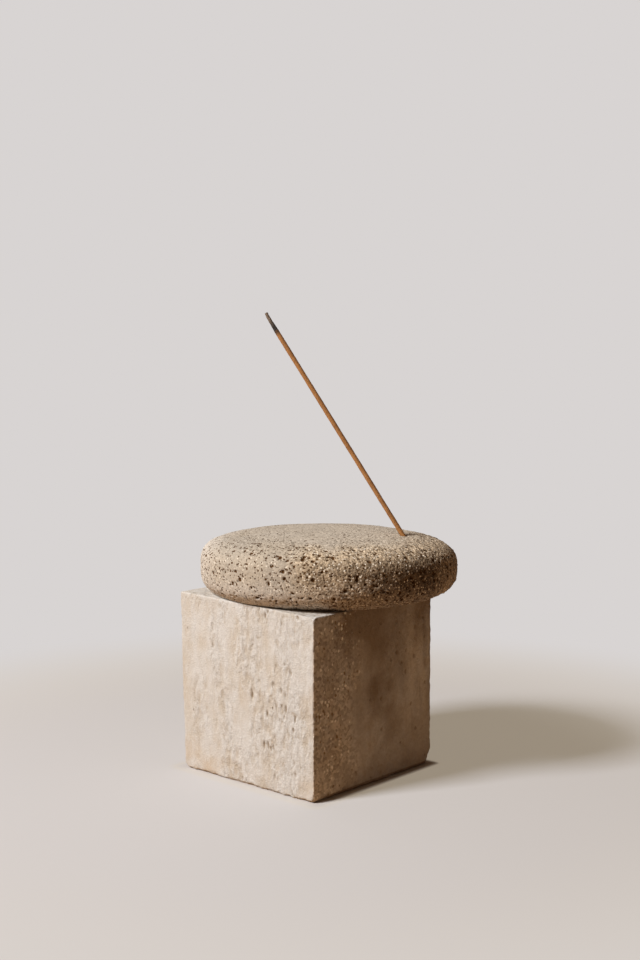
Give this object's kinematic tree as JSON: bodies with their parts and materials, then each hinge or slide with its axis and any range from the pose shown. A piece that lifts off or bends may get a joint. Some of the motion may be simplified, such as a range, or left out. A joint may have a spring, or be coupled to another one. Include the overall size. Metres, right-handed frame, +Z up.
{
  "type": "incense stick holder",
  "caption": "Rounded porous stone pebble with a slanted drilled hole, standing on a sawn travertine cube and holding one burning incense stick at a lean.",
  "frame": {"origin": "centre of the travertine block's underside, where the holder stands", "axes": "+Z up; +X and +Y along the block's sawn sides"},
  "size_m": [0.1392, 0.1472, 0.2634],
  "materials": {
    "travertine": "sawn, unfilled",
    "porous_stone": "rough, pitted",
    "bamboo": "raw",
    "incense_paste": "dry, matt",
    "char": "burnt, matt",
    "ash": "crumbly, matt"
  },
  "bodies": {
    "block": {"travertine_block": "travertine"},
    "pebble": {"stone_pebble": "porous_stone"},
    "stick": {"bamboo_splint": "bamboo", "incense_coat": "incense_paste", "charred_collar": "char", "ash_tip": "ash"}
  },
  "joints": [
    {"name": "pebble_lift", "type": "slide", "parent": "block", "child": "pebble", "axis": [0, 0, 1], "range_m": [0, 0.05]},
    {"name": "stick_pull", "type": "slide", "parent": "pebble", "child": "stick", "axis": [-0.2273, 0.4965, 0.8377], "range_m": [0, 0.03]}
  ]
}
